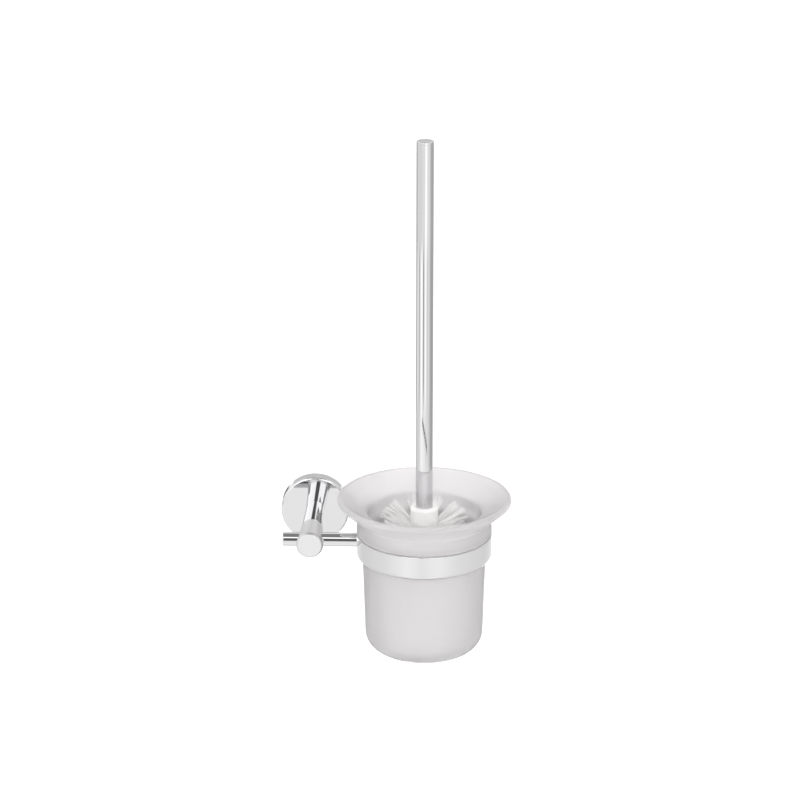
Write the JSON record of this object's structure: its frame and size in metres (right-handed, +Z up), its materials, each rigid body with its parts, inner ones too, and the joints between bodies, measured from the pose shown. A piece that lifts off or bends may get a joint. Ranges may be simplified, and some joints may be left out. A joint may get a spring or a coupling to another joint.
{
  "type": "toilet brush holder",
  "caption": "Wall-mounted toilet brush holder: round flange, post and bar carry a ring with a frosted glass cup, and a long-handled brush stands in the cup.",
  "frame": {"origin": "centre of the flange's back face, on the wall", "axes": "+Z up, +Y into the wall, so the holder stands out towards -Y; +X from the post towards the cup"},
  "size_m": [0.1682, 0.1292, 0.3754],
  "materials": {
    "chrome": "polished chrome plate",
    "steel": "plain stainless steel",
    "brass": "turned brass",
    "frosted_glass": "frosted",
    "clear_plastic": "clear soft plastic",
    "white_plastic": "moulded white plastic",
    "bristle": "white nylon bristle"
  },
  "bodies": {
    "wall_mount": {"wall_bracket": "steel", "wall_flange": "chrome", "flange_grub_screw": "steel", "post": "chrome", "post_screw": "steel", "post_head": "chrome", "head_grub_screw": "steel", "crossbar": "chrome", "ring_screw": "steel", "holder_ring": "chrome", "seat_sleeve": "clear_plastic"},
    "cup": {"glass_cup": "frosted_glass"},
    "brush": {"handle_tube": "chrome", "handle_cap": "chrome", "handle_insert": "brass", "handle_collar": "white_plastic", "brush_stud": "steel", "brush_core": "white_plastic", "bristle_row_1": "bristle", "bristle_row_2": "bristle", "bristle_row_3": "bristle", "bristle_row_4": "bristle", "bristle_row_5": "bristle", "bristle_row_6": "bristle", "bristle_row_7": "bristle", "bristle_row_8": "bristle"}
  },
  "joints": [
    {"name": "cup_lift", "type": "slide", "parent": "wall_mount", "child": "cup", "axis": [0, 0, 1], "range_m": [0, 0.095]},
    {"name": "brush_lift", "type": "slide", "parent": "cup", "child": "brush", "axis": [0, 0, 1], "range_m": [0, 0.115]}
  ]
}
